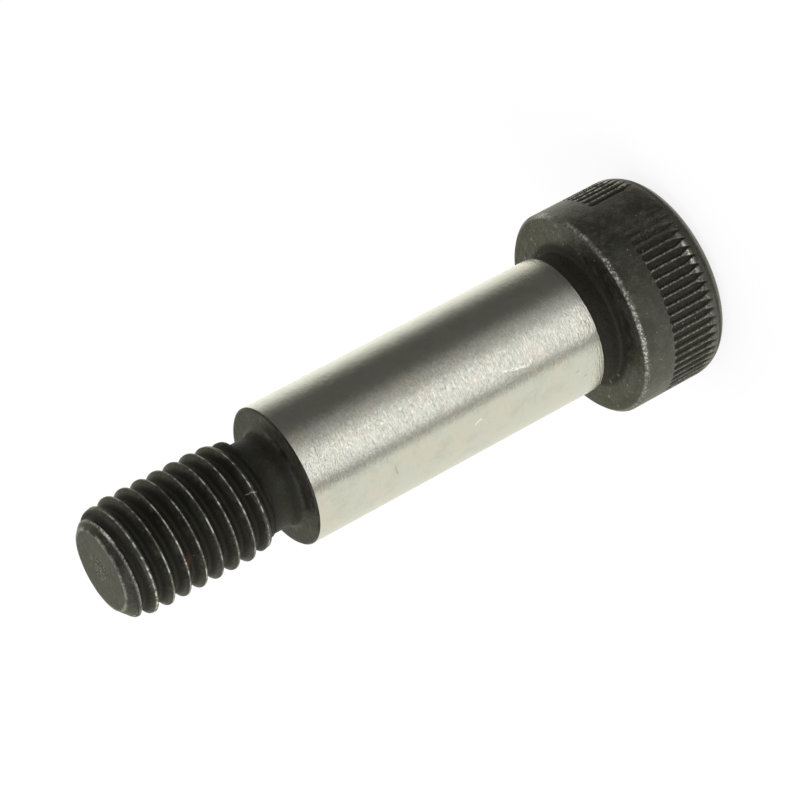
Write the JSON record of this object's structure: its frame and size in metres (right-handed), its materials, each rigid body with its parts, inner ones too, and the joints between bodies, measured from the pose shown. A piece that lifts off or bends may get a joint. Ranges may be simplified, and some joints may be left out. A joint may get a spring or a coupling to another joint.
{
  "type": "shoulder bolt",
  "caption": "Socket-head shoulder bolt with a knurled black head, a ground bright shoulder and a black threaded end behind a narrow neck.",
  "frame": {"origin": "centre of the head's flat drive face, which the bolt stands on", "axes": "+Z along the axis from the head towards the thread's tip; +X points to the right of the view in which the knurl's plain stretch shows"},
  "size_m": [0.0178, 0.0178, 0.0554],
  "materials": {
    "black_oxide": "black oxide, satin, lightly oiled",
    "ground_steel": "fine ground around the axis"
  },
  "bodies": {
    "root": {"shoulder_bolt": "black_oxide"}
  },
  "joints": []
}
